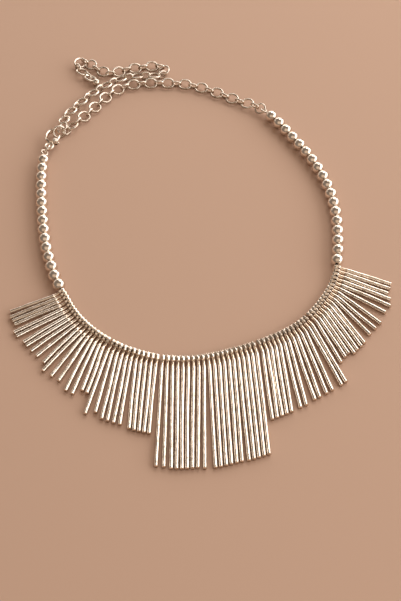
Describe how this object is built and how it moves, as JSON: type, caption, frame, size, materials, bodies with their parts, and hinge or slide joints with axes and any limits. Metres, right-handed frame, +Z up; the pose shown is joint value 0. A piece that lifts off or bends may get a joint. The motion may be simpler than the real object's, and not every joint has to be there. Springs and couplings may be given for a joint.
{
  "type": "bib necklace",
  "caption": "Bib necklace of silver-tone metal: a fringe of hammered rods in three lengths between strings of round beads, with a cable chain, lobster clasp and extender tail, lying flat.",
  "frame": {"origin": "on the surface that the necklace lies on, under the middle of its bounding box", "axes": "+X to the right and +Z up; the fringe points to -Y and the chain with the clasp lies at +Y"},
  "size_m": [0.1416, 0.2174, 0.0049],
  "materials": {
    "hammered_silver": "hammered silver-tone metal, satin, with dark warm hollows",
    "satin_silver": "smooth satin silver-tone metal",
    "aged_silver": "polished silver-tone metal, slightly aged in its hollows"
  },
  "bodies": {
    "necklace": {"clasp_ring": "aged_silver", "clasp_body": "aged_silver", "left_bead_01": "satin_silver", "left_bead_02": "satin_silver", "left_bead_03": "satin_silver", "left_bead_04": "satin_silver", "left_bead_05": "satin_silver", "left_bead_06": "satin_silver", "left_bead_07": "satin_silver", "left_bead_08": "satin_silver", "left_bead_09": "satin_silver", "left_bead_10": "satin_silver", "left_bead_11": "satin_silver", "left_bead_12": "satin_silver", "left_bead_13": "satin_silver", "left_bead_14": "satin_silver", "left_bead_15": "satin_silver", "left_bead_wire": "aged_silver", "fringe_left_short": "hammered_silver", "fringe_left_medium": "hammered_silver", "fringe_centre_long": "hammered_silver", "fringe_right_medium": "hammered_silver", "fringe_right_short": "hammered_silver", "right_bead_01": "satin_silver", "right_bead_02": "satin_silver", "right_bead_03": "satin_silver", "right_bead_04": "satin_silver", "right_bead_05": "satin_silver", "right_bead_06": "satin_silver", "right_bead_07": "satin_silver", "right_bead_08": "satin_silver", "right_bead_09": "satin_silver", "right_bead_10": "satin_silver", "right_bead_11": "satin_silver", "right_bead_12": "satin_silver", "right_bead_13": "satin_silver", "right_bead_14": "satin_silver", "right_bead_15": "satin_silver", "right_bead_16": "satin_silver", "right_bead_17": "satin_silver", "right_bead_18": "satin_silver", "right_bead_wire": "aged_silver", "chain_ring": "aged_silver", "side_chain": "aged_silver", "tail_chain": "aged_silver", "end_ball": "aged_silver"},
    "lever": {"clasp_lever": "aged_silver"}
  },
  "joints": [
    {"name": "clasp_lever_hinge", "type": "hinge", "parent": "necklace", "child": "lever", "pos_m": [-0.0601, 0.05284, 0.00245], "axis": [0, 0, 1], "range_deg": [0, 20], "stiffness_Nm_per_rad": 0.004, "springref_deg": -5.73}
  ]
}
